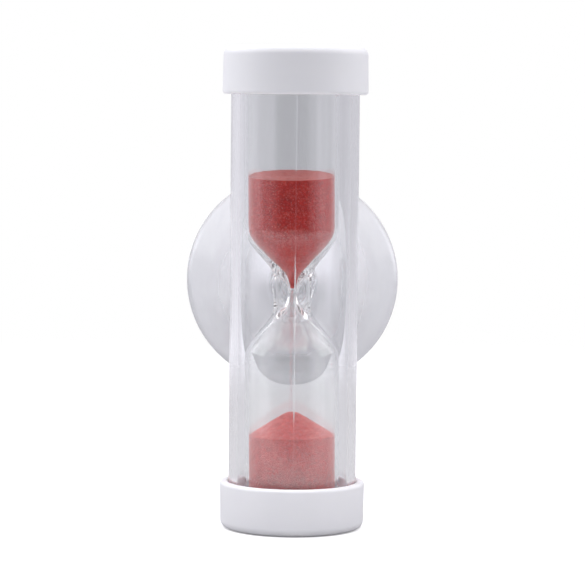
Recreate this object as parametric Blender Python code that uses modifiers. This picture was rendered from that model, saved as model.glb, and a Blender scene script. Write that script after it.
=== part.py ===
"""A wall-mounted sand timer: a glass vial of sand in a clear tube, two push-on end caps,
and a suction cup whose stem turns in a boss on the back of the tube.

Units are metres. +Z is up along the tube, the front faces -Y, the wall is on the +Y side,
and the origin is the centre of the face that the timer stands on.
"""

import math

import bmesh
import bpy
from mathutils import Matrix

MM = 0.001

# Overall sizes
TIMER_HEIGHT = 92.0 * MM
TUBE_OUTER_R = 12.25 * MM
TUBE_WALL = 1.6 * MM

# Clearances
REST_GAP = 0.3 * MM  # between pieces that rest on each other
PUSH_FIT_GAP = 0.15 * MM  # cap on tube, stopper in vial
TURN_GAP = 0.08 * MM  # stem in boss
SAND_GAP = 0.15 * MM  # sand in vial
VIAL_SIDE_GAP = 1.6 * MM  # vial in tube, enough for it to lean

# End caps
CAP_HEIGHT = 9.0 * MM
CAP_SKIRT_WALL = 1.5 * MM
CAP_END_WALL = 1.5 * MM
CAP_DRAFT_DEG = 0.8
CAP_END_FILLET = 1.5 * MM
CAP_RIM_FILLET = 0.6 * MM

# Foam pads between the vial and the caps
PAD_THICKNESS = 2.0 * MM

# Glass vial; lengths along it are measured from its neck
VIAL_WALL = 0.65 * MM
VIAL_END_WALL = 1.1 * MM
VIAL_END_FILLET = 1.6 * MM
NECK_OUTER_R = 3.5 * MM
NECK_BORE_R = 0.5 * MM
NECK_HALF_WAIST = 3.0 * MM
SHOULDER_LENGTH = 9.4 * MM
SHOULDER_POWER = 1.6
FUNNEL_LENGTH = 12.2 * MM
FUNNEL_POWER = 1.1
STOPPER_FLANGE = 1.4 * MM
STOPPER_INSET = 0.6 * MM
STOPPER_PLUG_LENGTH = 3.0 * MM
VIAL_LEAN_DEG = 0.6
VIAL_OFFSET_X = -0.4 * MM

# Sand
UPPER_SAND_LEVEL = 22.5 * MM  # above the neck, at the middle of its surface
UPPER_SAND_TILT_DEG = 5.7  # its surface rises towards the wall
UPPER_SAND_TIP = 1.0 * MM  # above the neck, where the funnel is wide enough to fill
LOWER_SAND_LEVEL = 27.2 * MM  # below the neck, where the heap meets the glass
REPOSE_DEG = 31.0
HEAP_TIP_R = 2.0 * MM  # the heap's tip is rounded inside this radius
STREAM_R = 0.35 * MM

# Swivel: the tube's boss and the cup's stem
STEM_R = 2.2 * MM
STEM_HEAD_CATCH = 1.1 * MM  # how far the head reaches past the stem
STEM_HEAD_LENGTH = 1.7 * MM
STEM_HEAD_NOSE = 0.7 * MM
BOSS_WALL = 2.7 * MM
BOSS_HEIGHT = 2.4 * MM  # beyond the tube's outer wall
BOSS_FILLET = 0.4 * MM
HUB_MARGIN = 0.6 * MM  # how far the hub reaches past the boss
HUB_LENGTH = 1.25 * MM

# Suction cup
CUP_R = 21.2 * MM
CUP_DEPTH = 9.5 * MM
CUP_CENTRE_WALL = 3.2 * MM
CUP_LIP_THICKNESS = 0.7 * MM
CUP_LIP_FLAT = 1.0 * MM
CUP_FLARE_POWER = 1.6

# Derived sizes
TUBE_INNER_R = TUBE_OUTER_R - TUBE_WALL
CAP_BORE_R = TUBE_OUTER_R + PUSH_FIT_GAP
CAP_RIM_R = CAP_BORE_R + CAP_SKIRT_WALL
PAD_R = TUBE_INNER_R - REST_GAP
VIAL_OUTER_R = TUBE_INNER_R - VIAL_SIDE_GAP
VIAL_BORE_R = VIAL_OUTER_R - VIAL_WALL
STEM_HEAD_R = STEM_R + STEM_HEAD_CATCH
STEM_BORE_R = STEM_R + TURN_GAP
BOSS_R = STEM_BORE_R + BOSS_WALL
HUB_R = BOSS_R + HUB_MARGIN

# Derived places up the timer
MID_Z = TIMER_HEIGHT / 2
TUBE_BOTTOM_Z = CAP_END_WALL + REST_GAP
TUBE_TOP_Z = TIMER_HEIGHT - TUBE_BOTTOM_Z
VIAL_BOTTOM_Z = TUBE_BOTTOM_Z + PAD_THICKNESS + REST_GAP
TOP_PAD_Z = TUBE_TOP_Z - PAD_THICKNESS
VIAL_TOP_Z = TOP_PAD_Z - REST_GAP - STOPPER_FLANGE - REST_GAP
NECK_Z = (VIAL_BOTTOM_Z + VIAL_TOP_Z) / 2
VIAL_HALF_LENGTH = (VIAL_TOP_Z - VIAL_BOTTOM_Z) / 2

# Derived places from the tube's axis to the wall
HEAD_BACK_Y = math.sqrt(TUBE_INNER_R**2 - STEM_HEAD_R**2) - REST_GAP
BOSS_FACE_Y = TUBE_OUTER_R + BOSS_HEIGHT
HUB_FACE_Y = BOSS_FACE_Y + REST_GAP
DISH_FACE_Y = HUB_FACE_Y + HUB_LENGTH + REST_GAP
WALL_PLANE_Y = DISH_FACE_Y + CUP_DEPTH

# How finely curved surfaces are cut
ROUND_STEPS = 48
SMALL_STEPS = 32
STREAM_STEPS = 12
CURVE_POINTS = 8
MERGE_DISTANCE = 1e-6
SHARP_DEG = 35.0


def clear_scene():
    for obj in list(bpy.data.objects):
        bpy.data.objects.remove(obj, do_unlink=True)


def new_collection(name):
    collection = bpy.data.collections.new(name)
    bpy.context.scene.collection.children.link(collection)
    return collection


def plain_material(name, colour, roughness, transmission=0.0):
    material = bpy.data.materials.new(name)
    material.use_nodes = True
    shader = material.node_tree.nodes["Principled BSDF"]
    shader.inputs["Base Color"].default_value = (*colour, 1.0)
    shader.inputs["Roughness"].default_value = roughness
    shader.inputs["Metallic"].default_value = 0.0
    shader.inputs["Transmission Weight"].default_value = transmission
    return material


def spaced(start, end, count):
    return [start + (end - start) * i / count for i in range(count + 1)]


def arc(centre_r, centre_z, radius, start_deg, end_deg, count=3):
    """Points (r, z) along an arc, both ends included."""
    angles = [math.radians(a) for a in spaced(start_deg, end_deg, count)]
    return [(centre_r + radius * math.cos(a), centre_z + radius * math.sin(a)) for a in angles]


def turned(name, profile, collection, material, steps=ROUND_STEPS):
    """A solid of revolution about Z. The profile is a loop of (r, z) points that first runs down
    the outer side; the stretch that lies on the axis is left out."""
    count = len(profile)
    loop = [(i, (i + 1) % count) for i in range(count)]
    edges = [(a, b) for a, b in loop if profile[a][0] > 0 or profile[b][0] > 0]
    mesh = bpy.data.meshes.new(name)
    mesh.from_pydata([(r, 0.0, z) for r, z in profile], edges, [])
    mesh.materials.append(material)
    obj = bpy.data.objects.new(name, mesh)
    collection.objects.link(obj)
    screw = obj.modifiers.new("turn", "SCREW")
    screw.steps = steps
    screw.render_steps = steps
    screw.use_merge_vertices = True
    screw.merge_threshold = MERGE_DISTANCE
    return obj


def boolean(obj, other, operation):
    modifier = obj.modifiers.new(operation.lower(), "BOOLEAN")
    modifier.operation = operation
    modifier.object = other


def primitive_mesh(name, collection, build, **sizes):
    """An object made by one bmesh primitive operator."""
    bm = bmesh.new()
    build(bm, **sizes)
    mesh = bpy.data.meshes.new(name)
    bm.to_mesh(mesh)
    bm.free()
    obj = bpy.data.objects.new(name, mesh)
    collection.objects.link(obj)
    return obj


def rod(name, radius, length, steps, collection):
    sizes = dict(cap_ends=True, segments=steps, radius1=radius, radius2=radius, depth=length)
    return primitive_mesh(name, collection, bmesh.ops.create_cone, **sizes)


def as_helper(obj):
    obj.hide_render = True
    obj.display_type = "WIRE"
    return obj


def wall_axis_matrix(y=0.0):
    """Stands a piece made about Z on the swivel axis, its own +Z pointing at the wall."""
    return Matrix.Translation((0, y, MID_Z)) @ Matrix.Rotation(-math.pi / 2, 4, "X")


def bake_smooth(obj):
    """Applies the modifiers and shades the piece smooth, with its corners kept sharp."""
    graph = bpy.context.evaluated_depsgraph_get()
    mesh = bpy.data.meshes.new_from_object(obj.evaluated_get(graph))
    obj.modifiers.clear()
    obj.data = mesh
    mesh.name = obj.name
    mesh.shade_smooth()
    mesh.set_sharp_from_angle(angle=math.radians(SHARP_DEG))


def make_tube(parts, helpers, material):
    """The clear tube, with the boss for the cup's stem moulded on its back."""
    profile = [
        (TUBE_OUTER_R, TUBE_TOP_Z),
        (TUBE_OUTER_R, TUBE_BOTTOM_Z),
        (TUBE_INNER_R, TUBE_BOTTOM_Z),
        (TUBE_INNER_R, TUBE_TOP_Z),
    ]
    tube = turned("housing_tube", profile, parts, material)
    boss_root_y = math.sqrt((TUBE_OUTER_R - TUBE_WALL / 2) ** 2 - BOSS_R**2)
    boss_profile = [
        (BOSS_R - BOSS_FILLET, BOSS_FACE_Y),
        (BOSS_R, BOSS_FACE_Y - BOSS_FILLET),
        (BOSS_R, boss_root_y),
        (0, boss_root_y),
        (0, BOSS_FACE_Y),
    ]
    boss = as_helper(turned("boss_blank", boss_profile, helpers, material, SMALL_STEPS))
    boss.matrix_world = wall_axis_matrix()
    bore_length = BOSS_FACE_Y + BOSS_HEIGHT
    bore = as_helper(rod("stem_bore", STEM_BORE_R, bore_length, SMALL_STEPS, helpers))
    bore.matrix_world = wall_axis_matrix(bore_length / 2)
    boolean(tube, boss, "UNION")
    boolean(tube, bore, "DIFFERENCE")
    return tube


def make_cap(name, parts, material):
    """A push-on cap that stands on its closed end, wider towards its rim by the mould's draft."""
    draft = CAP_HEIGHT * math.tan(math.radians(CAP_DRAFT_DEG))
    rim_r = CAP_RIM_R - CAP_RIM_FILLET
    rim_z = CAP_HEIGHT - CAP_RIM_FILLET
    foot_r = CAP_RIM_R - draft - CAP_END_FILLET
    profile = (
        arc(rim_r, rim_z, CAP_RIM_FILLET, 90, 0)
        + arc(foot_r, CAP_END_FILLET, CAP_END_FILLET, 0, -90)
        + [(0, 0), (0, CAP_END_WALL), (CAP_BORE_R, CAP_END_WALL), (CAP_BORE_R, CAP_HEIGHT)]
    )
    return turned(name, profile, parts, material)


def vial_outer_r(height):
    """A straight waist, then a shoulder that swells to the full tube."""
    share = (abs(height) - NECK_HALF_WAIST) / SHOULDER_LENGTH
    share = min(1.0, max(0.0, share))
    swell = math.sin(share * math.pi / 2) ** SHOULDER_POWER
    return NECK_OUTER_R + (VIAL_OUTER_R - NECK_OUTER_R) * swell


def vial_bore_r(height):
    """A narrow throat that opens as a smooth funnel."""
    share = min(1.0, abs(height) / FUNNEL_LENGTH) ** FUNNEL_POWER
    return NECK_BORE_R + (VIAL_BORE_R - NECK_BORE_R) * share * share * (3 - 2 * share)


def make_vial(parts, material):
    """Glass tube drawn in at the middle, closed at its foot and open at its top."""
    shoulder_end = NECK_HALF_WAIST + SHOULDER_LENGTH
    shoulder = spaced(shoulder_end, NECK_HALF_WAIST, CURVE_POINTS)
    funnel = spaced(-FUNNEL_LENGTH, FUNNEL_LENGTH, 2 * CURVE_POINTS)
    foot_r = VIAL_OUTER_R - VIAL_END_FILLET
    foot_z = -VIAL_HALF_LENGTH + VIAL_END_FILLET
    floor = -VIAL_HALF_LENGTH + VIAL_END_WALL
    floor_fillet = VIAL_END_FILLET - VIAL_WALL
    profile = (
        [(VIAL_OUTER_R, VIAL_HALF_LENGTH)]
        + [(vial_outer_r(h), h) for h in shoulder]
        + [(vial_outer_r(h), -h) for h in reversed(shoulder)]
        + arc(foot_r, foot_z, VIAL_END_FILLET, 0, -90)
        + [(0, -VIAL_HALF_LENGTH), (0, floor)]
        + arc(VIAL_BORE_R - floor_fillet, floor + floor_fillet, floor_fillet, -90, 0, 2)
        + [(vial_bore_r(h), h) for h in funnel]
        + [(VIAL_BORE_R, VIAL_HALF_LENGTH)]
    )
    return turned("glass_vial", profile, parts, material)


def make_stopper(parts, material):
    """A soft plug in the vial's open end, with a flange that seats on the glass."""
    flange_r = VIAL_OUTER_R - STOPPER_INSET
    plug_r = VIAL_BORE_R - PUSH_FIT_GAP
    seat = VIAL_HALF_LENGTH + REST_GAP
    plug_end = VIAL_HALF_LENGTH - STOPPER_PLUG_LENGTH
    profile = [
        (flange_r, seat + STOPPER_FLANGE),
        (flange_r, seat),
        (plug_r, seat),
        (plug_r, plug_end),
        (0, plug_end),
        (0, seat + STOPPER_FLANGE),
    ]
    return turned("vial_stopper", profile, parts, material)


def make_upper_sand(parts, helpers, material):
    """Sand that fills the funnel and the bulb up to a level, tilted surface."""
    sand_r = VIAL_BORE_R - SAND_GAP
    rise = sand_r * math.tan(math.radians(UPPER_SAND_TILT_DEG))
    fill_top = UPPER_SAND_LEVEL + 2 * rise
    funnel = spaced(FUNNEL_LENGTH, UPPER_SAND_TIP, CURVE_POINTS)
    profile = (
        [(sand_r, fill_top)]
        + [(vial_bore_r(h) - SAND_GAP, h) for h in funnel]
        + [(0, UPPER_SAND_TIP), (0, fill_top)]
    )
    sand = turned("upper_sand", profile, parts, material)
    side = 4 * sand_r
    cutter = as_helper(primitive_mesh("level_cutter", helpers, bmesh.ops.create_cube, size=side))
    tilt = Matrix.Rotation(math.radians(UPPER_SAND_TILT_DEG), 4, "X")
    level = Matrix.Translation((VIAL_OFFSET_X, 0, NECK_Z + UPPER_SAND_LEVEL))
    cutter.matrix_world = level @ tilt @ Matrix.Translation((0, 0, side / 2))
    boolean(sand, cutter, "DIFFERENCE")
    return sand


def make_lower_sand(parts, material):
    """A cone at the sand's angle of repose, rounded at its tip, on sand that fills the bulb."""
    slope = math.tan(math.radians(REPOSE_DEG))
    sand_r = VIAL_BORE_R - SAND_GAP
    tip_drop = HEAP_TIP_R * slope / 2

    def heap_z(r):
        below_tip = slope * r - tip_drop if r > HEAP_TIP_R else slope * r * r / (2 * HEAP_TIP_R)
        return heap_top - below_tip

    heap_top = -LOWER_SAND_LEVEL + slope * sand_r - tip_drop
    floor = -VIAL_HALF_LENGTH + VIAL_END_WALL + SAND_GAP
    fillet = VIAL_END_FILLET - VIAL_WALL
    radii = [HEAP_TIP_R * share for share in (0.5, 1.0)] + [sand_r]
    profile = (
        [(0, heap_top)]
        + [(r, heap_z(r)) for r in radii]
        + arc(sand_r - fillet, floor + fillet, fillet, 0, -90, 2)
        + [(0, floor)]
    )
    return turned("lower_sand", profile, parts, material), heap_top


def make_stream(parts, material, heap_top_z):
    """The thread of falling sand, from the throat down to the heap's tip."""
    bottom = heap_top_z + REST_GAP
    top = NECK_Z + UPPER_SAND_TIP - REST_GAP
    stream = rod("sand_stream", STREAM_R, top - bottom, STREAM_STEPS, parts)
    stream.data.materials.append(material)
    stream.location = (VIAL_OFFSET_X, 0, (top + bottom) / 2)
    return stream


def make_pad(name, z, parts, material):
    profile = [(PAD_R, PAD_THICKNESS), (PAD_R, 0), (0, 0), (0, PAD_THICKNESS)]
    pad = turned(name, profile, parts, material)
    pad.location = (0, 0, z)
    return pad


def make_stem(parts, material):
    """The cup's hub, the neck that turns in the boss, and the head that snaps in behind it."""
    hub_back = HUB_FACE_Y + HUB_LENGTH
    head_front = HEAD_BACK_Y - STEM_HEAD_LENGTH
    profile = [
        (HUB_R, hub_back),
        (HUB_R, HUB_FACE_Y),
        (STEM_R, HUB_FACE_Y),
        (STEM_R, HEAD_BACK_Y),
        (STEM_HEAD_R, HEAD_BACK_Y),
        (STEM_HEAD_R, head_front + STEM_HEAD_NOSE),
        (STEM_HEAD_R - STEM_HEAD_NOSE, head_front),
        (0, head_front),
        (0, hub_back),
    ]
    stem = turned("suction_stem", profile, parts, material, SMALL_STEPS)
    stem.matrix_world = wall_axis_matrix()
    return stem


def make_dish(parts, material):
    """The soft bell of the cup: thick at its hub, thin at the flat lip that seals on the wall."""
    lip_y = WALL_PLANE_Y - CUP_LIP_THICKNESS

    def front_y(share):
        return DISH_FACE_Y + (lip_y - DISH_FACE_Y) * share**CUP_FLARE_POWER

    def wall(share):
        return CUP_CENTRE_WALL + (CUP_LIP_THICKNESS - CUP_CENTRE_WALL) * share

    flare = spaced(1, 0, CURVE_POINTS)
    inner_r = CUP_R - CUP_LIP_FLAT
    profile = (
        [(CUP_R, WALL_PLANE_Y)]
        + [(HUB_R + (CUP_R - HUB_R) * s, front_y(s)) for s in flare]
        + [(0, DISH_FACE_Y), (0, DISH_FACE_Y + CUP_CENTRE_WALL)]
        + [(HUB_R + (inner_r - HUB_R) * s, front_y(s) + wall(s)) for s in reversed(flare)]
    )
    dish = turned("suction_dish", profile, parts, material)
    dish.matrix_world = wall_axis_matrix()
    return dish


def pivot(name, location, collection, parent=None):
    empty = bpy.data.objects.new(name, None)
    collection.objects.link(empty)
    empty.parent = parent
    empty.location = location
    return empty


def build():
    clear_scene()
    parts = new_collection("sand_timer")
    helpers = new_collection("helpers")
    clear_plastic = plain_material("clear_styrene", (0.95, 0.96, 0.97), 0.06, 1.0)
    white_plastic = plain_material("white_plastic", (0.78, 0.78, 0.8), 0.35)
    glass = plain_material("vial_glass", (0.96, 0.98, 0.97), 0.02, 1.0)
    sand = plain_material("red_sand", (0.45, 0.12, 0.11), 0.9)
    rubber = plain_material("stopper_rubber", (0.75, 0.75, 0.73), 0.7)
    foam = plain_material("pad_foam", (0.82, 0.82, 0.82), 0.95)
    soft_pvc = plain_material("soft_pvc", (0.85, 0.88, 0.9), 0.15, 0.7)

    turning = pivot("timer_axis", (0, 0, MID_Z), parts)
    to_turning = Matrix.Translation((0, 0, -MID_Z))
    lean = pivot("vial_axis", (VIAL_OFFSET_X, 0, NECK_Z - MID_Z), parts, turning)
    lean.rotation_euler = (0, math.radians(-VIAL_LEAN_DEG), 0)

    lower_sand, heap_top = make_lower_sand(parts, sand)
    in_vial = [
        make_vial(parts, glass),
        make_stopper(parts, rubber),
        make_upper_sand(parts, helpers, sand),
        lower_sand,
    ]
    for piece in in_vial:
        piece.parent = lean

    top_cap = make_cap("top_cap", parts, white_plastic)
    top_cap.rotation_euler = (math.pi, 0, 0)
    top_cap.location = (0, 0, TIMER_HEIGHT)
    in_tube = [
        make_tube(parts, helpers, clear_plastic),
        top_cap,
        make_cap("bottom_cap", parts, white_plastic),
        make_pad("top_pad", TOP_PAD_Z, parts, foam),
        make_pad("bottom_pad", TUBE_BOTTOM_Z, parts, foam),
        make_stream(parts, sand, NECK_Z + heap_top),
    ]
    for piece in in_tube:
        piece.parent = turning
        piece.matrix_parent_inverse = to_turning

    on_wall = [make_stem(parts, soft_pvc), make_dish(parts, soft_pvc)]
    bpy.context.view_layer.update()
    for piece in in_vial + in_tube + on_wall:
        bake_smooth(piece)


build()
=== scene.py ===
"""A wall-mounted sand timer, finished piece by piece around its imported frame."""

import math

import bpy
import numpy as np
from mathutils import Matrix, Vector


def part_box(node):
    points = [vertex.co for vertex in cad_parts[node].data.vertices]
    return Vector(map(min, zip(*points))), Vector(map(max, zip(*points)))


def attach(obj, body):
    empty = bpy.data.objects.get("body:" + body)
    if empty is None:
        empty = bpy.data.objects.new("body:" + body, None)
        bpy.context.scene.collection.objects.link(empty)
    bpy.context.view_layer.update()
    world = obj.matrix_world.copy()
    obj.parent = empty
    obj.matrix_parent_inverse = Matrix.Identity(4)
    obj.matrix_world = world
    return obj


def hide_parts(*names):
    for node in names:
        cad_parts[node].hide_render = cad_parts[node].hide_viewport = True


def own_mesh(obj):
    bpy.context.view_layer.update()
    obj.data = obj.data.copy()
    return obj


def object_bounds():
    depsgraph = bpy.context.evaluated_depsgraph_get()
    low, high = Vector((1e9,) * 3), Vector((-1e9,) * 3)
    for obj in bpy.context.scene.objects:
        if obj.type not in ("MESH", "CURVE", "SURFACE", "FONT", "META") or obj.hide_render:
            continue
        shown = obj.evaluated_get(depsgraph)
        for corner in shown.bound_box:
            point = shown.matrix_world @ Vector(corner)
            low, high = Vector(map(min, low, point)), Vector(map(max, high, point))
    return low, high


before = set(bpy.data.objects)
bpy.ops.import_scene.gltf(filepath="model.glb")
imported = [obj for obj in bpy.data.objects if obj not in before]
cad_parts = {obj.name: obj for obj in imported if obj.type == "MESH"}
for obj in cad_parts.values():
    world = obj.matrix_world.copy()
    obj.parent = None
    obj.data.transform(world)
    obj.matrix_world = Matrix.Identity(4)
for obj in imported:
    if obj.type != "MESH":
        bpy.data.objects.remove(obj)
cad_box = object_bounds()


# ---- The studio ------------------------------------------------------------------------------
# A pale table under a large overhead softbox, with a tall softbox at each side and a dimmer room
# all round. The lens is long and stands level with the upper bulb, looking slightly down.

MM = 0.001
CAMERA_DISTANCE = 494.0 * MM
CAMERA_HEIGHT = 81.1 * MM
CAMERA_AZIMUTH_DEG = -0.65
CAMERA_PITCH_DEG = 4.14
CAMERA_ROLL_DEG = 0.55
LENS_MM = 159.2
VIEW_SHIFT = (-0.0021, -0.0014)
GLASS_BOUNCES = 96

studio = bpy.context.scene
studio.view_settings.view_transform = "Standard"
studio.cycles.max_bounces = GLASS_BOUNCES
studio.cycles.transmission_bounces = GLASS_BOUNCES
studio.cycles.glossy_bounces = GLASS_BOUNCES
studio.cycles.diffuse_bounces = 4
studio.cycles.transparent_max_bounces = 16
studio.cycles.caustics_reflective = True
studio.cycles.caustics_refractive = True
studio.cycles.blur_glossy = 0.0
studio.cycles.sample_clamp_indirect = 6.0
studio.cycles.use_denoising = True


def aim_camera():
    """Camera axes: forward goes through the timer's axis and dips by the pitch; right and up are
    then turned about it by the roll."""
    azimuth = math.radians(CAMERA_AZIMUTH_DEG)
    pitch = math.radians(CAMERA_PITCH_DEG)
    roll = math.radians(CAMERA_ROLL_DEG)
    forward = Vector(
        (
            -math.sin(azimuth) * math.cos(pitch),
            math.cos(azimuth) * math.cos(pitch),
            -math.sin(pitch),
        )
    )
    level_right = Vector((math.cos(azimuth), math.sin(azimuth), 0))
    level_up = level_right.cross(forward)
    right = level_right * math.cos(roll) + level_up * math.sin(roll)
    up = level_up * math.cos(roll) - level_right * math.sin(roll)
    place = Vector(
        (
            CAMERA_DISTANCE * math.sin(azimuth),
            -CAMERA_DISTANCE * math.cos(azimuth),
            CAMERA_HEIGHT,
        )
    )
    turn = Matrix((right, up, -forward)).transposed().to_4x4()
    return Matrix.Translation(place) @ turn


camera = bpy.data.objects.new("camera", bpy.data.cameras.new("camera"))
camera.data.lens = LENS_MM
camera.data.shift_x, camera.data.shift_y = VIEW_SHIFT
camera.data.clip_start = 0.01
camera.matrix_world = aim_camera()
studio.collection.objects.link(camera)
studio.camera = camera


class Value:
    """One number that varies over a surface: arithmetic on it adds Math nodes to its tree."""

    def __init__(self, tree, socket):
        self.tree = tree
        self.socket = socket

    def math(self, operation, first, second=0.0, clamp=False):
        node = self.tree.nodes.new("ShaderNodeMath")
        node.operation = operation
        node.use_clamp = clamp
        feed(self.tree, node.inputs[0], first)
        feed(self.tree, node.inputs[1], second)
        return Value(self.tree, node.outputs[0])

    def __add__(self, other):
        return self.math("ADD", self, other)

    def __radd__(self, other):
        return self.math("ADD", other, self)

    def __sub__(self, other):
        return self.math("SUBTRACT", self, other)

    def __rsub__(self, other):
        return self.math("SUBTRACT", other, self)

    def __mul__(self, other):
        return self.math("MULTIPLY", self, other)

    def __rmul__(self, other):
        return self.math("MULTIPLY", other, self)

    def __truediv__(self, other):
        return self.math("DIVIDE", self, other)

    def clamped(self):
        return self.math("ADD", self, 0.0, clamp=True)

    def step(self, start, end):
        """0 before start, 1 after end, and a smooth ramp between them."""
        share = ((self - start) / (end - start)).clamped()
        return share * share * (3.0 - 2.0 * share)

    def band(self, rise, fall):
        """1 between two steps, 0 outside them."""
        return self.step(*rise) - self.step(*fall)


def feed(tree, socket, item):
    """Sets a socket to a plain value, or links it."""
    if isinstance(item, Value):
        tree.links.new(item.socket, socket)
    else:
        socket.default_value = item


class Shader:
    """A node tree being built. make() adds any node: its type, its settings, its sockets."""

    def __init__(self, owner):
        owner.use_nodes = True
        self.owner = owner
        self.tree = owner.node_tree
        self.tree.nodes.clear()

    def make(self, kind, settings=None, sockets=None, output=0):
        node = self.tree.nodes.new("ShaderNode" + kind)
        for name, setting in (settings or {}).items():
            setattr(node, name, setting)
        for name, item in (sockets or {}).items():
            feed(self.tree, node.inputs[name], item)
        return Value(self.tree, node.outputs[output])

    def mix(self, share, first, second):
        """Mixes two colours, each given as three numbers or as a value."""
        first, second = (c if isinstance(c, Value) else (*c, 1) for c in (first, second))
        sockets = {0: share, 6: first, 7: second}
        return self.make("Mix", {"data_type": "RGBA"}, sockets, output=2)

    def axis(self, vector, index):
        return self.make("SeparateXYZ", None, {0: vector}, output=index)

    def length(self, vector):
        return self.make("VectorMath", {"operation": "LENGTH"}, {0: vector}, output="Value")

    def place(self):
        """Object coordinates, in metres."""
        return self.make("TexCoord", output="Object")

    def noise(self, size, detail=3.0, stretch=(1, 1, 1)):
        """Noise whose features are about this long, in metres."""
        spot = self.make("Mapping", None, {"Vector": self.place(), "Scale": stretch})
        sockets = {"Vector": spot, "Scale": 1 / size, "Detail": detail, "Roughness": 0.5}
        return self.make("TexNoise", None, sockets, output="Fac")

    def bump(self, height, depth):
        """A normal from a height between 0 and 1 that stands for this depth in metres."""
        return self.make("Bump", None, {"Strength": 1.0, "Distance": depth, "Height": height})

    def finish(self, kind, sockets):
        """Makes the last shader node, and gives back the material or world that it finishes."""
        surface = self.make(kind, None, sockets)
        owner_kind = "World" if isinstance(self.owner, bpy.types.World) else "Material"
        end = self.tree.nodes.new("ShaderNodeOutput" + owner_kind)
        self.tree.links.new(surface.socket, end.inputs["Surface"])
        return self.owner


ROOM_DARK = 0.04
WALL_LEVEL = 0.58
WALL_LEFT_EXTRA = 0.15
WALL_LOW_EXTRA = 0.12
WALL_LOW_MIDDLE_EXTRA = 0.50
LEFT_LIGHT_LEVEL = 0.85
RIGHT_LIGHT_LEVEL = 0.62
GAP_LEVEL = 0.22
FRONT_LEFT_LEVEL = 0.34
ABOVE_LEVEL = 0.95
ROOM_TINT = (1.0, 0.985, 1.06, 1)


def room_light():
    """The room as the glass sees it, by its bearing from straight behind in degrees and by its
    height: a lit wall behind, paler on the left and low down; a darker gap at either side; side
    lights; a dark front; and brightness above. The bare backdrop is clean white."""
    world = bpy.data.worlds.new("room")
    shader = Shader(world)
    direction = shader.make("TexCoord", output="Generated")
    across = shader.axis(direction, 0)
    along = shader.axis(direction, 1)
    up = shader.axis(direction, 2)
    bearing = shader.make("Math", {"operation": "ARCTAN2"}, {0: across, 1: along})
    bearing = bearing * (180 / math.pi)
    left = 1.0 - bearing.step(-18, -8)
    middle = bearing.band((-26, -14), (14, 26))
    wall = bearing.band((-74, -66), (66, 72))
    gap = bearing.band((-92, -84), (-74, -66)) + bearing.band((66, 72), (88, 96))
    left_light = bearing.band((-109, -106), (-92, -84))
    right_light = bearing.band((88, 96), (128, 146))
    front_left = bearing.band((-160, -125), (-109, -106))
    above = up.step(0.3, 0.75)
    low = 1.0 - up.step(-0.12, -0.04)
    low_extra = WALL_LOW_EXTRA + WALL_LOW_MIDDLE_EXTRA * middle
    level = ROOM_DARK + wall * (WALL_LEVEL + WALL_LEFT_EXTRA * left + low_extra * low)
    level = level + LEFT_LIGHT_LEVEL * left_light + RIGHT_LIGHT_LEVEL * right_light
    level = level + GAP_LEVEL * gap + FRONT_LEFT_LEVEL * front_left
    level = level * (1.0 - above) + ABOVE_LEVEL * above
    room = shader.make("Background", None, {"Color": ROOM_TINT, "Strength": level})
    backdrop = shader.make("Background", None, {"Color": (1, 1, 1, 1), "Strength": 1.0})
    seen = shader.make("LightPath", output="Is Camera Ray")
    shader.finish("MixShader", {0: seen, 1: room, 2: backdrop})
    return world


studio.world = room_light()


def softbox(name, place, target, width, height, radiance, colour):
    """A rectangular area light that faces the target. Its power is radiance * area * pi."""
    light = bpy.data.lights.new(name, "AREA")
    light.shape = "RECTANGLE"
    light.size = width
    light.size_y = height
    light.energy = radiance * width * height * math.pi
    light.color = colour
    box = bpy.data.objects.new(name, light)
    box.location = place
    box.rotation_euler = (Vector(target) - Vector(place)).to_track_quat("-Z", "Y").to_euler()
    studio.collection.objects.link(box)


softbox(
    "overhead_box",
    place=(0, -0.15, 0.7),
    target=(0, 0, 0.05),
    width=0.8,
    height=0.6,
    radiance=1.5,
    colour=(1, 1, 1),
)
softbox(
    "left_box",
    place=(-0.45, 0.1, 0.42),
    target=(0, 0.1, 0.3),
    width=0.5,
    height=0.54,
    radiance=1.7,
    colour=(0.98, 0.99, 1.0),
)
softbox(
    "right_box",
    place=(0.5, 0.12, 0.42),
    target=(0, 0.12, 0.3),
    width=0.5,
    height=0.54,
    radiance=1.35,
    colour=(1.0, 0.99, 0.98),
)


TABLE_R = 0.42
TABLE_SIDES = 96
TABLE_FADE = (0.2, 0.4)
TABLE_GREY = (0.90, 0.90, 0.90)
TABLE_WHITE = (0.93, 0.93, 0.93)
# The glow when seen keeps the table evenly white to the camera. The glow in front is painted light:
# a glowing strip, between the bounds below, that lights the caps and the glass though the table is
# no lamp.
TABLE_GLOW_WHEN_SEEN = 0.3
TABLE_GLOW_IN_FRONT = 0.26
GLOW_STRIP_STARTS = (-0.16, -0.08)
GLOW_STRIP_ENDS = (-0.04, -0.005)


def glowing_paint(shader, colour, glow):
    """Matt paint that also gives off a little white light."""
    sockets = {"Base Color": colour, "Roughness": 0.9, "Emission Color": (1, 1, 1, 1)}
    sockets["Emission Strength"] = glow
    return shader.make("BsdfPrincipled", None, sockets)


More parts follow.
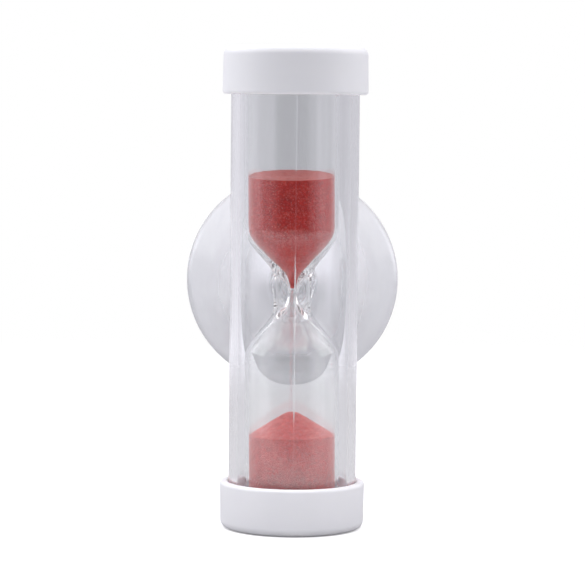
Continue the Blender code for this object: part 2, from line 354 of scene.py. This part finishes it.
def pale_table():
    """A matt white disc that fades out at its edge. Seen directly it is washed out to white. The
    glass and the caps see painted light instead: a painted glow in a strip in front of the caps,
    and a darker grey as painted shade everywhere else."""
    angle = np.linspace(0, 2 * np.pi, TABLE_SIDES, endpoint=False)
    rim = TABLE_R * np.stack([np.cos(angle), np.sin(angle), np.zeros(TABLE_SIDES)], axis=1)
    mesh = bpy.data.meshes.new("table")
    mesh.from_pydata(rim.tolist(), [], [list(range(TABLE_SIDES))])
    table = bpy.data.objects.new("table", mesh)
    studio.collection.objects.link(table)
    shader = Shader(bpy.data.materials.new("table_paint_with_painted_light"))
    spot = shader.place()
    colour = shader.mix(shader.noise(12 * MM), TABLE_GREY, TABLE_WHITE)
    direct = glowing_paint(shader, colour, TABLE_GLOW_WHEN_SEEN)
    # Painted light that only the glass and the caps see: a glowing paler strip in front of the
    # caps, and a darker grey as painted shade everywhere else on the table.
    front = glowing_paint(shader, (0.7, 0.7, 0.7, 1), TABLE_GLOW_IN_FRONT)
    painted_table_shade = shader.make("BsdfDiffuse", None, {"Color": (0.5, 0.495, 0.5, 1)})
    off_glow_strip = 1.0 - shader.axis(spot, 1).band(GLOW_STRIP_STARTS, GLOW_STRIP_ENDS)
    painted_glow_and_shade = shader.make("MixShader", None, {0: off_glow_strip, 1: front, 2: painted_table_shade})
    seen = shader.make("LightPath", output="Is Camera Ray")
    paint = shader.make("MixShader", None, {0: seen, 1: painted_glow_and_shade, 2: direct})
    clear = shader.make("BsdfTransparent")
    fade = shader.length(spot).step(*TABLE_FADE)
    mesh.materials.append(shader.finish("MixShader", {0: fade, 1: paint, 2: clear}))
    return table


pale_table()


# ---- Housing tube ----------------------------------------------------------------------------
# Clear styrene tube that guards the glass, moulded in one piece with the boss at its back that
# the suction cup's stem turns in. The mould's two halves leave a hairline down front and back.

tube_low, tube_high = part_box("housing_tube")
TUBE_R = (tube_high[0] - tube_low[0]) / 2
TUBE_WALL = 1.6 * MM
TUBE_EDGE = 0.2 * MM
TUBE_STEPS = 256
SEAM_HEIGHT = 0.07 * MM
SEAM_WIDTH = 0.16 * MM
SEAM_TURN_DEG = 0.6
TUBE_INNER_R = TUBE_R - TUBE_WALL
MID_Z = (tube_low[2] + tube_high[2]) / 2
BOSS_FACE_Y = tube_high[1]
STEM_R = 2.2 * MM
BORE_R = STEM_R + 0.08 * MM
BORE_START_Y = 3 * MM
BORE_OVERRUN = 2 * MM
BOSS_R = BORE_R + 2.7 * MM
BOSS_FILLET = 0.4 * MM
SHARP_EDGE_DEG = 40
SHARP_BOSS_EDGE_DEG = 30
HAZE_RETURNS = (8 * MM, 18 * MM)


def surface(name, points, material, wrap_rows=False):
    """A closed surface from a grid of points: rows along the profile, columns round the piece.
    Columns always join up. Rows join up too if asked, and otherwise each end row is one pole."""
    rows, columns, _ = points.shape
    grid = np.arange(rows * columns).reshape(rows, columns)
    if not wrap_rows:
        grid[0, :] = grid[0, 0]
        grid[-1, :] = grid[-1, 0]
    after = np.roll(grid, -1, axis=0) if wrap_rows else grid[1:]
    here = grid if wrap_rows else grid[:-1]
    quads = np.stack([here, np.roll(here, -1, 1), np.roll(after, -1, 1), after], axis=-1)
    quads = quads.reshape(-1, 4)
    used, index = np.unique(quads, return_inverse=True)
    quads = index.reshape(-1, 4)
    verts = points.reshape(-1, 3)[used]
    faces = [list(dict.fromkeys(q)) for q in quads.tolist()]
    mesh = bpy.data.meshes.new(name)
    mesh.from_pydata(verts.tolist(), [], faces)
    mesh.shade_smooth()
    mesh.set_sharp_from_angle(angle=math.radians(SHARP_EDGE_DEG))
    mesh.materials.append(material)
    piece = bpy.data.objects.new(name, mesh)
    studio.collection.objects.link(piece)
    return piece


def held(profile):
    """The same profile with a point close to both ends of each long straight run, so that smooth
    shading keeps the run straight: end + (other end - end) * reach / run."""
    profile = np.asarray(profile, float)
    reach = 0.12 * MM
    step = np.diff(profile, axis=0)
    run = np.linalg.norm(step, axis=1)
    share = (reach / np.maximum(run, reach))[:, None]
    after_start = profile[:-1] + step * share
    before_end = profile[1:] - step * share
    points = np.stack([profile[:-1], after_start, before_end], axis=1)
    keep = np.ones(points.shape[:2], bool)
    keep[run < 6 * reach, 1:] = False
    return np.concatenate([points[keep], profile[-1:]])


def revolved(name, profile, material, steps=192, wrap_rows=False, wobble=None):
    """A turned piece: each (r, z) of the profile is carried round Z. The profile runs so that the
    solid lies on its left. wobble(angle, r, z) may add to the radius."""
    r, z = held(profile).T
    angle = np.linspace(0, 2 * np.pi, steps, endpoint=False)
    radius = np.repeat(r[:, None], steps, axis=1)
    if wobble is not None:
        radius = radius + wobble(angle[None, :], r[:, None], z[:, None])
    points = np.stack(
        [radius * np.cos(angle), radius * np.sin(angle), np.repeat(z[:, None], steps, axis=1)],
        axis=-1,
    )
    return surface(name, points, material, wrap_rows)


def arc(centre_r, centre_z, radius, start_deg, end_deg, count=8):
    """Points (r, z) along an arc, both ends included."""
    angle = np.radians(np.linspace(start_deg, end_deg, count))
    return np.stack([centre_r + radius * np.cos(angle), centre_z + radius * np.sin(angle)], axis=1)


def clear_plastic(name, colour, roughness, ior, haze=0.0, veil=(0.9, 0.9, 0.9), core=0.0):
    """Clear moulding: refracting, with faint wipe marks in its polish and a little haze. core is
    how much of the haze is missing round the swivel axis, before it comes back further out."""
    shader = Shader(bpy.data.materials.new(name))
    smear = shader.noise(9 * MM, detail=4, stretch=(1, 1, 0.35))
    polish = roughness + smear.step(0.45, 0.75) * roughness
    ripple = shader.noise(3.5 * MM, detail=2, stretch=(1, 1, 0.4))
    normal = shader.bump(ripple, 0.004 * MM)
    sockets = {
        "Base Color": (*colour, 1),
        "Roughness": polish,
        "IOR": ior,
        "Transmission Weight": 1.0,
        "Normal": normal,
    }
    clear = shader.make("BsdfPrincipled", None, sockets)
    sockets = {"Base Color": (*veil, 1), "Roughness": 0.4, "IOR": ior}
    milk = shader.make("BsdfPrincipled", None, sockets)
    patchy = haze * (0.6 + 0.8 * smear)
    if core:
        sockets = {0: shader.place(), 1: (0, 0, MID_Z)}
        off_middle = shader.make("VectorMath", {"operation": "SUBTRACT"}, sockets)
        sockets = {0: off_middle, 1: (1, 0, 1)}
        off_axis = shader.make("VectorMath", {"operation": "MULTIPLY"}, sockets)
        patchy = patchy - core * (1.0 - shader.length(off_axis).step(*HAZE_RETURNS))
    return shader.finish("MixShader", {0: patchy, 1: clear, 2: milk})


def tube_surface(material):
    """The cross-section at an angle has the tube's radius plus a bell-shaped hairline of
    SEAM_WIDTH at front and back; it is carried from end to end, outside and inside."""
    coarse = np.linspace(-np.pi, np.pi, TUBE_STEPS, endpoint=False)
    fine = np.arange(-1.0, 1.0001, 0.025) * MM / TUBE_R
    front = math.radians(-90 + SEAM_TURN_DEG)
    back = front + np.pi
    angle = np.concatenate([coarse, front + fine, back + fine])
    angle = np.unique(np.round(np.mod(angle, 2 * np.pi), 5))
    seam = np.zeros_like(angle)
    for line in (front, back):
        away = np.abs(np.mod(angle - line + np.pi, 2 * np.pi) - np.pi) * TUBE_R
        seam += SEAM_HEIGHT * np.exp(-((away / (SEAM_WIDTH / 2)) ** 2))
    low, high = tube_low[2], tube_high[2]
    profile = np.array(
        [
            (TUBE_INNER_R + TUBE_EDGE, low),
            (TUBE_R - TUBE_EDGE, low),
            (TUBE_R, low + TUBE_EDGE),
            (TUBE_R, high - TUBE_EDGE),
            (TUBE_R - TUBE_EDGE, high),
            (TUBE_INNER_R + TUBE_EDGE, high),
            (TUBE_INNER_R, high - TUBE_EDGE),
            (TUBE_INNER_R, low + TUBE_EDGE),
        ]
    )
    outside = (profile[:, 0] > TUBE_R - 1e-6).astype(float)
    radius = profile[:, 0, None] + outside[:, None] * seam[None, :]
    height = np.repeat(profile[:, 1, None], len(angle), axis=1)
    points = np.stack([radius * np.cos(angle), radius * np.sin(angle), height], axis=-1)
    return surface("tube", points, material, wrap_rows=True)


def to_wall_axis(piece):
    """Lays a piece made about Z on the swivel axis, its own +Z pointing at the wall."""
    lay = Matrix.Translation((0, 0, MID_Z)) @ Matrix.Rotation(-math.pi / 2, 4, "X")
    piece.data.transform(lay)
    return piece


def join(piece, other, operation):
    """Cuts or joins another closed surface, and keeps the result as the piece's mesh."""
    cut = piece.modifiers.new(operation, "BOOLEAN")
    cut.operation = operation
    cut.object = other
    graph = bpy.context.evaluated_depsgraph_get()
    mesh = bpy.data.meshes.new_from_object(piece.evaluated_get(graph))
    piece.modifiers.clear()
    piece.data = mesh
    bpy.data.objects.remove(other)


tube_plastic = clear_plastic("clear_styrene", (0.965, 0.97, 0.975), 0.02, 1.55, haze=0.006)
tube = tube_surface(tube_plastic)
boss_root = math.sqrt((TUBE_R - TUBE_WALL / 2) ** 2 - BOSS_R**2)
boss_profile = np.concatenate(
    [
        [(0, boss_root), (BOSS_R, boss_root)],
        arc(BOSS_R - BOSS_FILLET, BOSS_FACE_Y - BOSS_FILLET, BOSS_FILLET, 0, 90),
        [(0, BOSS_FACE_Y)],
    ]
)
boss = to_wall_axis(revolved("boss", boss_profile, tube_plastic, 96))
bore_end = BOSS_FACE_Y + BORE_OVERRUN
bore_profile = [(0, BORE_START_Y), (BORE_R, BORE_START_Y), (BORE_R, bore_end), (0, bore_end)]
bore = to_wall_axis(revolved("bore", bore_profile, tube_plastic, 96))
join(tube, boss, "UNION")
join(tube, bore, "DIFFERENCE")
tube.data.set_sharp_from_angle(angle=math.radians(SHARP_BOSS_EDGE_DEG))
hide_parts("housing_tube")
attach(tube, "timer")


# ---- Glass vial ------------------------------------------------------------------------------
# One piece of drawn glass tube, necked down in a flame: even walls in the bulbs, thick and a
# little uneven at the neck. Its foot is rounded off and its top is open. It leans slightly.

vial_low, vial_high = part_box("glass_vial")
VIAL_OUTER_R = 9.05 * MM
VIAL_BORE_R = 8.4 * MM
VIAL_END_WALL = 1.1 * MM
VIAL_END_FILLET = 1.6 * MM
NECK_OUTER_R = 3.5 * MM
NECK_BORE_R = 0.5 * MM
NECK_HALF_WAIST = 3.0 * MM
SHOULDER_LENGTH = 9.4 * MM
FUNNEL_LENGTH = 12.2 * MM
VIAL_LEAN_DEG = 0.6
VIAL_OFFSET_X = -0.4 * MM
NECK_SWAY = 0.25 * MM
SWAY_HEIGHT = 3.5 * MM
SWAY_REACH = 6 * MM
GLASS_BLUR = 1.2 * MM
MARK_DEPTH = 0.07 * MM
MARK_DEPTH_IN_BORE = 0.012 * MM
MARK_REACH = 6.5 * MM
INNER_FILLET = VIAL_END_FILLET - (VIAL_OUTER_R - VIAL_BORE_R)
NECK_Z = (vial_low[2] + vial_high[2]) / 2
VIAL_HALF = (vial_high[2] - vial_low[2]) / 2
vial_lean = Matrix.Rotation(math.radians(-VIAL_LEAN_DEG), 4, "Y")
vial_place = Matrix.Translation((VIAL_OFFSET_X, 0, NECK_Z)) @ vial_lean


def softened(curve, height):
    """The flame blurs every bend: the mean of the curve over GLASS_BLUR either side."""
    shifts = np.linspace(-GLASS_BLUR, GLASS_BLUR, 9)
    return np.mean([curve(height + shift) for shift in shifts], axis=0)


def outer_curve(height):
    """Straight waist, then a quarter sine to the power 1.6 up to the bulb."""
    share = np.clip((np.abs(height) - NECK_HALF_WAIST) / SHOULDER_LENGTH, 0, 1)
    return NECK_OUTER_R + (VIAL_OUTER_R - NECK_OUTER_R) * np.sin(share * np.pi / 2) ** 1.6


def bore_curve(height):
    """Smooth step of the height's share of the funnel, to the power 1.1."""
    share = np.clip(np.abs(height) / FUNNEL_LENGTH, 0, 1) ** 1.1
    return NECK_BORE_R + (VIAL_BORE_R - NECK_BORE_R) * share**2 * (3 - 2 * share)


def outer_radius(height):
    return softened(outer_curve, height)


def bore_radius(height):
    return softened(bore_curve, height)


def set_in_vial(piece):
    """The throat was drawn a little to one side: every point moves along X by the sway times
    exp(-((height - sway height) / reach)^2). Then the piece takes the vial's lean and place."""
    points = np.empty(len(piece.data.vertices) * 3, np.float32)
    piece.data.vertices.foreach_get("co", points)
    points = points.reshape(-1, 3)
    points[:, 0] += NECK_SWAY * np.exp(-(((points[:, 2] - SWAY_HEIGHT) / SWAY_REACH) ** 2))
    piece.data.vertices.foreach_set("co", points.ravel())
    piece.data.transform(vial_place)


def flame_marks(angle, r, z):
    """Soft unevenness of worked glass: a few long waves round and along the neck, none in the
    bulbs, and far less on the bore than outside."""
    near = np.exp(-((z / MARK_REACH) ** 2))
    waves = np.sin(2 * angle + 0.9) * np.cos(z / (1.9 * MM) + 0.4)
    waves = waves + 0.7 * np.sin(3 * angle + z / (1.3 * MM)) + 0.5 * np.sin(z / (0.75 * MM) + angle)
    outside = r > (outer_radius(z) + bore_radius(z)) / 2
    return near * waves * np.where(outside, MARK_DEPTH, MARK_DEPTH_IN_BORE)


def vial_profile():
    """From the foot's middle up the outside, over the fire-polished lip, and down the bore."""
    shoulder = NECK_HALF_WAIST + SHOULDER_LENGTH + GLASS_BLUR
    funnel_end = FUNNEL_LENGTH + GLASS_BLUR
    up = np.linspace(-shoulder, shoulder, 200)
    down = np.linspace(funnel_end, -funnel_end, 200)
    lip = (VIAL_OUTER_R - VIAL_BORE_R) / 2
    floor = -VIAL_HALF + VIAL_END_WALL
    foot_r = VIAL_OUTER_R - VIAL_END_FILLET
    foot_z = -VIAL_HALF + VIAL_END_FILLET
    return np.concatenate(
        [
            [(0, -VIAL_HALF)],
            arc(foot_r, foot_z, VIAL_END_FILLET, -90, 0, 12),
            np.stack([outer_radius(up), up], axis=1),
            arc(VIAL_BORE_R + lip, VIAL_HALF - lip, lip, 0, 180, 12),
            np.stack([bore_radius(down), down], axis=1),
            arc(VIAL_BORE_R - INNER_FILLET, floor + INNER_FILLET, INNER_FILLET, 0, -90, 10),
            [(0, floor)],
        ]
    )


def drawn_glass():
    """Clear glass with a faint ripple from drawing."""
    shader = Shader(bpy.data.materials.new("drawn_glass"))
    ripple = shader.noise(6 * MM, detail=2, stretch=(1, 1, 0.3))
    smear = shader.noise(5 * MM, detail=4)
    sockets = {
        "Base Color": (0.985, 0.99, 0.985, 1),
        "Roughness": 0.003 + 0.02 * smear.step(0.5, 0.8),
        "IOR": 1.52,
        "Transmission Weight": 1.0,
        "Normal": shader.bump(ripple, 0.004 * MM),
    }
    return shader.finish("BsdfPrincipled", sockets)


vial = revolved("vial", vial_profile(), drawn_glass(), 224, wobble=flame_marks)
set_in_vial(vial)
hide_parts("glass_vial")
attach(vial, "timer")


# ---- Stopper ---------------------------------------------------------------------------------
# A soft off-white rubber plug pushed into the vial's open end, with a flange that seats on the
# lip and a slightly bellied plug.

STOPPER_FLANGE = 1.4 * MM
STOPPER_FLANGE_R = VIAL_OUTER_R - 0.6 * MM
STOPPER_PLUG = 3.0 * MM
STOPPER_GAP = 0.15 * MM
STOPPER_BELLY = 0.15 * MM
STOPPER_EDGE = 0.35 * MM
SEAT_GAP = 0.3 * MM
RUBBER_PALE = (0.74, 0.74, 0.72)
RUBBER_DARK = (0.62, 0.62, 0.6)


def soft_rubber():
    """Matt rubber: speckled, with a fine pebbled skin."""
    shader = Shader(bpy.data.materials.new("stopper_rubber"))
    speckle = shader.noise(0.25 * MM, detail=5)
    cloud = shader.noise(3 * MM)
    colour = shader.mix(cloud * 0.6 + speckle * 0.4, RUBBER_DARK, RUBBER_PALE)
    sockets = {
        "Base Color": colour,
        "Roughness": 0.55 + 0.25 * speckle,
        "Normal": shader.bump(speckle, 0.02 * MM),
    }
    return shader.finish("BsdfPrincipled", sockets)


def stopper_profile():
    """Plug's end, bellied side, seat, and a flange with rounded edges."""
    seat = VIAL_HALF + SEAT_GAP
    top = seat + STOPPER_FLANGE
    end = VIAL_HALF - STOPPER_PLUG
    plug_r = VIAL_BORE_R - STOPPER_GAP
    side = np.linspace(end + 0.4 * MM, seat, 12)
    belly = plug_r - STOPPER_BELLY * ((side - (end + seat) / 2) / ((seat - end) / 2)) ** 2
    edge = STOPPER_EDGE
    return np.concatenate(
        [
            [(0, end), (plug_r - 0.6 * MM, end)],
            np.stack([belly, side], axis=1),
            arc(STOPPER_FLANGE_R - edge, seat + edge, edge, -90, 0, 6),
            arc(STOPPER_FLANGE_R - edge, top - edge, edge, 0, 90, 6),
            [(0, top)],
        ]
    )


stopper = revolved("stopper", stopper_profile(), soft_rubber(), 128)
stopper.data.transform(vial_place)
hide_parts("vial_stopper")
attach(stopper, "timer")


# ---- Sand ------------------------------------------------------------------------------------
# Dyed sand of about a fifth of a millimetre. Above the neck it fills the funnel up to a slightly
# tilted surface; below it lies in a cone at its angle of repose. A thread falls between them.

SAND_GAP = 0.15 * MM
SAND_R = VIAL_BORE_R - SAND_GAP
GRAIN = 0.24 * MM
UPPER_LEVEL = 22.5 * MM
UPPER_TILT_DEG = 5.7
UPPER_TIP = 1.0 * MM
LOWER_LEVEL = 27.2 * MM
REPOSE_DEG = 31.0
HEAP_TIP_R = 2.0 * MM
STREAM_R = 0.35 * MM
STREAM_GRAINS = 1100
STREAM_GRAIN = 0.06 * MM
STREAM_FILL = 0.93
SPREAD_POWER = 0.35
FALL_POWER = 1.3
CROWN_ROWS = 60
WAVE_COUNT = 24
WAVE_DEPTH = 0.04 * MM
SHORTEST_WAVE = 0.6
LONGEST_WAVE = 2.0
RED_DEEP = (0.36, 0.011, 0.009)
RED_BRIGHT = (0.64, 0.030, 0.023)
RED_PALE = (0.85, 0.24, 0.20)
RED_CLOUD = (0.62, 0.036, 0.030)


def dyed_sand():
    """Each grain is one Voronoi cell with its own shade of red; some are nearly white. The dye
    is uneven in wider clouds, and every grain stands out a little."""
    shader = Shader(bpy.data.materials.new("dyed_sand"))
    spot = shader.place()
    cell = {"Vector": spot, "Scale": 1 / GRAIN}
    shade = shader.make("TexVoronoi", {"feature": "F1"}, cell, output="Color")
    one = shader.axis(shade, 0)
    two = shader.axis(shade, 1)
    distance = shader.make("TexVoronoi", {"feature": "F1"}, cell, output="Distance")
    cloud = shader.noise(2.5 * MM, detail=3)
    red = shader.mix(one, RED_DEEP, RED_BRIGHT)
    mixed = shader.mix(two.step(0.7, 1.0) * 0.32, red, RED_PALE)
    colour = shader.mix(cloud.step(0.35, 0.7) * 0.3, mixed, RED_CLOUD)
    sockets = {
        "Base Color": colour,
        "Roughness": 0.75 + 0.2 * one,
        "Specular IOR Level": 0.35,
        "Sheen Weight": 0.8,
        "Sheen Roughness": 0.45,
        "Sheen Tint": (1.0, 0.6, 0.56, 1),
        "Normal": shader.bump(1.0 - distance, 0.06 * MM),
    }
    return shader.finish("BsdfPrincipled", sockets)


def uneven(x, y, seed):
    """Rolling unevenness of poured sand: the depth times a fifth of the sum of random waves, each
    as high as its length's share of the longest. Lengths are in millimetres."""
    rng = np.random.default_rng(seed)
    total = np.zeros_like(x)
    for _ in range(WAVE_COUNT):
        length = rng.uniform(SHORTEST_WAVE, LONGEST_WAVE) * MM
        heading = rng.uniform(0, 2 * np.pi)
        along = x * np.cos(heading) + y * np.sin(heading)
        wave = np.sin(2 * np.pi * along / length + rng.uniform(0, 2 * np.pi))
        total += wave * length / (LONGEST_WAVE * MM)
    return WAVE_DEPTH * total / 5


def sand_body(name, profile, top_height, material, steps=224):
    """A turned body whose crown rows are laid on a height that depends on both x and y."""
    r, z = np.asarray(profile).T
    angle = np.linspace(0, 2 * np.pi, steps, endpoint=False)
    x = r[:, None] * np.cos(angle)
    y = r[:, None] * np.sin(angle)
    height = np.repeat(z[:, None], steps, axis=1)
    height[-CROWN_ROWS:] = top_height(x[-CROWN_ROWS:], y[-CROWN_ROWS:])
    height[-1] = height[-1, 0]
    piece = surface(name, np.stack([x, y, height], axis=-1), material)
    set_in_vial(piece)
    return piece


def upper_top(x, y):
    """A plane that rises towards the wall, a little hollow above the neck."""
    slope = math.tan(math.radians(UPPER_TILT_DEG))
    hollow = 0.25 * MM * np.exp(-(x**2 + y**2) / (3.5 * MM) ** 2)
    return UPPER_LEVEL + slope * y - hollow + uneven(x, y, 3)


def heap_top(x, y):
    """A cone at the angle of repose, rounded inside the tip's radius."""
    slope = math.tan(math.radians(REPOSE_DEG))
    r = np.hypot(x, y)
    drop = np.where(r > HEAP_TIP_R, slope * (r - HEAP_TIP_R / 2), slope * r**2 / (2 * HEAP_TIP_R))
    peak = -LOWER_LEVEL + slope * (SAND_R - HEAP_TIP_R / 2)
    return peak - drop + uneven(x, y, 5)


sand = dyed_sand()
funnel = np.linspace(UPPER_TIP, FUNNEL_LENGTH + GLASS_BLUR, 100)
crown_r = np.linspace(SAND_R, 0, CROWN_ROWS)
upper_profile = np.concatenate(
    [
        [(0, UPPER_TIP)],
        np.stack([bore_radius(funnel) - SAND_GAP, funnel], axis=1),
        np.stack([crown_r, np.full(CROWN_ROWS, UPPER_LEVEL)], axis=1),
    ]
)
upper_sand = sand_body("upper_sand_charge", upper_profile, upper_top, sand)
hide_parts("upper_sand")
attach(upper_sand, "timer")

sand_floor = -VIAL_HALF + VIAL_END_WALL + SAND_GAP
lower_profile = np.concatenate(
    [
        [(0, sand_floor)],
        arc(SAND_R - INNER_FILLET, sand_floor + INNER_FILLET, INNER_FILLET, -90, 0, 10),
        np.stack([crown_r, np.full(CROWN_ROWS, -LOWER_LEVEL)], axis=1),
    ]
)
lower_sand = sand_body("lower_sand_heap", lower_profile, heap_top, sand)
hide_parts("lower_sand")
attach(lower_sand, "timer")


def falling_grains(count):
    """Grains spaced as free fall spaces them: evenly in time, so their drop grows faster than time.
    Each is a small uneven octahedron."""
    rng = np.random.default_rng(11)
    low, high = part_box("sand_stream")
    share = (rng.random(count) * 0.99 + 0.01) ** FALL_POWER
    spread = STREAM_R * STREAM_FILL * rng.random(count) ** SPREAD_POWER
    turn = rng.uniform(0, 2 * np.pi, count)
    middle = np.stack(
        [
            (low[0] + high[0]) / 2 + spread * np.cos(turn),
            (low[1] + high[1]) / 2 + spread * np.sin(turn),
            high[2] - (high[2] - low[2]) * share,
        ],
        axis=1,
    )
    corners = np.array([(1, 0, 0), (0, 1, 0), (-1, 0, 0), (0, -1, 0), (0, 0, 1), (0, 0, -1)])
    size = STREAM_GRAIN * rng.uniform(0.35, 0.62, (count, 1, 1))
    size = size * rng.uniform(0.8, 1.2, (count, 6, 1))
    verts = (middle[:, None, :] + corners[None] * size).reshape(-1, 3)
    faces = np.array(
        [(0, 1, 4), (1, 2, 4), (2, 3, 4), (3, 0, 4), (1, 0, 5), (2, 1, 5), (3, 2, 5), (0, 3, 5)]
    )
    faces = (faces[None] + 6 * np.arange(count)[:, None, None]).reshape(-1, 3)
    mesh = bpy.data.meshes.new("falling_grains")
    mesh.from_pydata(verts.tolist(), [], faces.tolist())
    mesh.materials.append(sand)
    piece = bpy.data.objects.new("falling_grains", mesh)
    studio.collection.objects.link(piece)
    return piece


stream = falling_grains(STREAM_GRAINS)
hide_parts("sand_stream")
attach(stream, "timer")


# ---- Foam pads -------------------------------------------------------------------------------
# Discs of white closed-cell foam, one in each cap, that keep the vial from rattling.

PAD_EDGE = 0.4 * MM
FOAM_PALE = (0.84, 0.84, 0.84)
FOAM_PAINTED_PIT_SHADE = (0.70, 0.70, 0.70)


def foam():
    """White foam with small pits, painted a darker grey in the pits as shade."""
    shader = Shader(bpy.data.materials.new("pad_foam"))
    sockets = {"Vector": shader.place(), "Scale": 1 / (0.35 * MM)}
    cells = shader.make("TexVoronoi", {"feature": "F1"}, sockets, output="Distance")
    # Painted shade: the colour darkens with the distance from each cell's centre, standing for
    # shade in the pits.
    colour = shader.mix(cells, FOAM_PALE, FOAM_PAINTED_PIT_SHADE)
    sockets = {"Base Color": colour, "Roughness": 0.9, "Normal": shader.bump(cells, 0.08 * MM)}
    return shader.finish("BsdfPrincipled", sockets)


pad_foam = foam()
for node in ("bottom_pad", "top_pad"):
    pad_low, pad_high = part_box(node)
    pad_r = (pad_high[0] - pad_low[0]) / 2
    pad_profile = np.concatenate(
        [
            [(0, pad_low[2])],
            arc(pad_r - PAD_EDGE, pad_low[2] + PAD_EDGE, PAD_EDGE, -90, 0, 5),
            arc(pad_r - PAD_EDGE, pad_high[2] - PAD_EDGE, PAD_EDGE, 0, 90, 5),
            [(0, pad_high[2])],
        ]
    )
    pad = revolved(node + "_foam", pad_profile, pad_foam, 128)
    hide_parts(node)
    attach(pad, "timer")


# ---- End caps --------------------------------------------------------------------------------
# White injection-moulded caps pushed onto the tube's ends, the closed end rounded off and the
# skirt drafted a little wider towards its rim, where it has a small lead-in inside.

cap_low, cap_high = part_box("bottom_cap")
CAP_WALL = 1.5 * MM
CAP_END_WALL = 1.5 * MM
CAP_HEIGHT = cap_high[2] - cap_low[2]
CAP_DRAFT_DEG = 0.8
CAP_END_FILLET = 1.5 * MM
CAP_RIM_FILLET = 0.6 * MM
CAP_LEAD_IN = 0.2 * MM
CAP_BORE_R = TUBE_R + 0.15 * MM
CAP_RIM_R = CAP_BORE_R + CAP_WALL
CAP_GREYER = (0.80, 0.804, 0.826)
CAP_WHITER = (0.83, 0.834, 0.852)


def white_moulding():
    """White moulded plastic: satin, very slightly cool, with a fine spark-eroded grain and soft
    sink marks."""
    shader = Shader(bpy.data.materials.new("white_moulding"))
    grain = shader.noise(0.18 * MM, detail=4)
    cloud = shader.noise(7 * MM, detail=2)
    colour = shader.mix(cloud, CAP_GREYER, CAP_WHITER)
    sockets = {
        "Base Color": colour,
        "Roughness": 0.36 + 0.1 * grain,
        "IOR": 1.5,
        "Subsurface Weight": 0.25,
        "Subsurface Radius": (1.2 * MM, 1.2 * MM, 1.3 * MM),
        "Subsurface Scale": 1.0,
        "Normal": shader.bump(grain * 0.7 + cloud * 0.3, 0.006 * MM),
    }
    return shader.finish("BsdfPrincipled", sockets)


def cap_profile():
    """From the closed end's middle, out and up the skirt, over the rim, and back down inside."""
    draft = CAP_HEIGHT * math.tan(math.radians(CAP_DRAFT_DEG))
    foot_r = CAP_RIM_R - draft
    return np.concatenate(
        [
            [(0, 0), (foot_r - CAP_END_FILLET - 1.5 * MM, 0)],
            arc(foot_r - CAP_END_FILLET, CAP_END_FILLET, CAP_END_FILLET, -90, 0, 14),
            arc(CAP_RIM_R - CAP_RIM_FILLET, CAP_HEIGHT - CAP_RIM_FILLET, CAP_RIM_FILLET, 0, 90, 10),
            [(CAP_BORE_R + CAP_LEAD_IN, CAP_HEIGHT), (CAP_BORE_R, CAP_HEIGHT - CAP_LEAD_IN)],
            [(CAP_BORE_R, CAP_END_WALL), (0, CAP_END_WALL)],
        ]
    )


cap_plastic = white_moulding()
turn_over = Matrix.Translation((0, 0, cad_box[1][2])) @ Matrix.Rotation(math.pi, 4, "X")
for node, place in (("bottom_cap", Matrix.Identity(4)), ("top_cap", turn_over)):
    cap = revolved(node + "_moulding", cap_profile(), cap_plastic, 224)
    cap.data.transform(place)
    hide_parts(node)
    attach(cap, "timer")


# ---- Suction cup -----------------------------------------------------------------------------
# Clear soft PVC, slightly milky. The stem's mushroom head snaps into the tube's boss and turns
# there; the bell is thick at its hub and thins to a flat lip.

stem_low, stem_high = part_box("suction_stem")
dish_low, dish_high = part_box("suction_dish")
HUB_R = (stem_high[0] - stem_low[0]) / 2
HUB_FACE_Y = BOSS_FACE_Y + 0.3 * MM
HEAD_R = STEM_R + 1.1 * MM
HEAD_LENGTH = 1.7 * MM
HEAD_FILLET = 0.7 * MM
HUB_EDGE = 0.3 * MM
CUP_R = (dish_high[0] - dish_low[0]) / 2
DISH_FACE_Y = dish_low[1]
WALL_Y = dish_high[1]
CUP_CENTRE_WALL = 3.2 * MM
LIP_THICKNESS = 0.7 * MM
LIP_FLAT = 1.0 * MM
LIP_FILLET = 0.3 * MM
FLARE_POWER = 1.6
PVC_CLEAR = (0.975, 0.98, 0.985)
PVC_MILK = (0.84, 0.855, 0.875)

soft_pvc = clear_plastic("soft_pvc", PVC_CLEAR, 0.06, 1.53, haze=0.34, veil=PVC_MILK, core=0.26)

head_back = stem_low[1] + HEAD_LENGTH
stem_profile = np.concatenate(
    [
        [(0, stem_low[1])],
        arc(HEAD_R - HEAD_FILLET, stem_low[1] + HEAD_FILLET, HEAD_FILLET, -90, 0, 8),
        [(HEAD_R, head_back), (STEM_R, head_back), (STEM_R, HUB_FACE_Y)],
        arc(HUB_R - HUB_EDGE, HUB_FACE_Y + HUB_EDGE, HUB_EDGE, -90, 0, 6),
        arc(HUB_R - HUB_EDGE, stem_high[1] - HUB_EDGE, HUB_EDGE, 0, 90, 6),
        [(0, stem_high[1])],
    ]
)
stem = to_wall_axis(revolved("suction_neck", stem_profile, soft_pvc, 96))
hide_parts("suction_stem")
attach(stem, "cup_stem")


def bell_profile():
    """Front: the hub's flat, then a flare whose depth is the share of the radius to the flare's
    power. Inside: the same flare offset by a wall that thins evenly from hub to lip."""
    share = np.linspace(0, 1, 60)
    lip_y = WALL_Y - LIP_THICKNESS
    front = DISH_FACE_Y + (lip_y - DISH_FACE_Y) * share**FLARE_POWER
    wall = CUP_CENTRE_WALL + (LIP_THICKNESS - CUP_CENTRE_WALL) * share
    outside = np.stack([HUB_R + (CUP_R - HUB_R) * share, front], axis=1)
    inside = np.stack([HUB_R + (CUP_R - LIP_FLAT - HUB_R) * share, front + wall], axis=1)
    lip = arc(CUP_R - LIP_FILLET, WALL_Y - LIP_FILLET, LIP_FILLET, 0, 90, 6)
    middle = [(0, DISH_FACE_Y + CUP_CENTRE_WALL)]
    return np.concatenate([[(0, DISH_FACE_Y)], outside, lip, inside[::-1], middle])


bell = to_wall_axis(revolved("suction_bell", bell_profile(), soft_pvc, 256))
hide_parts("suction_dish")
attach(bell, "wall_cup")
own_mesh(bell)
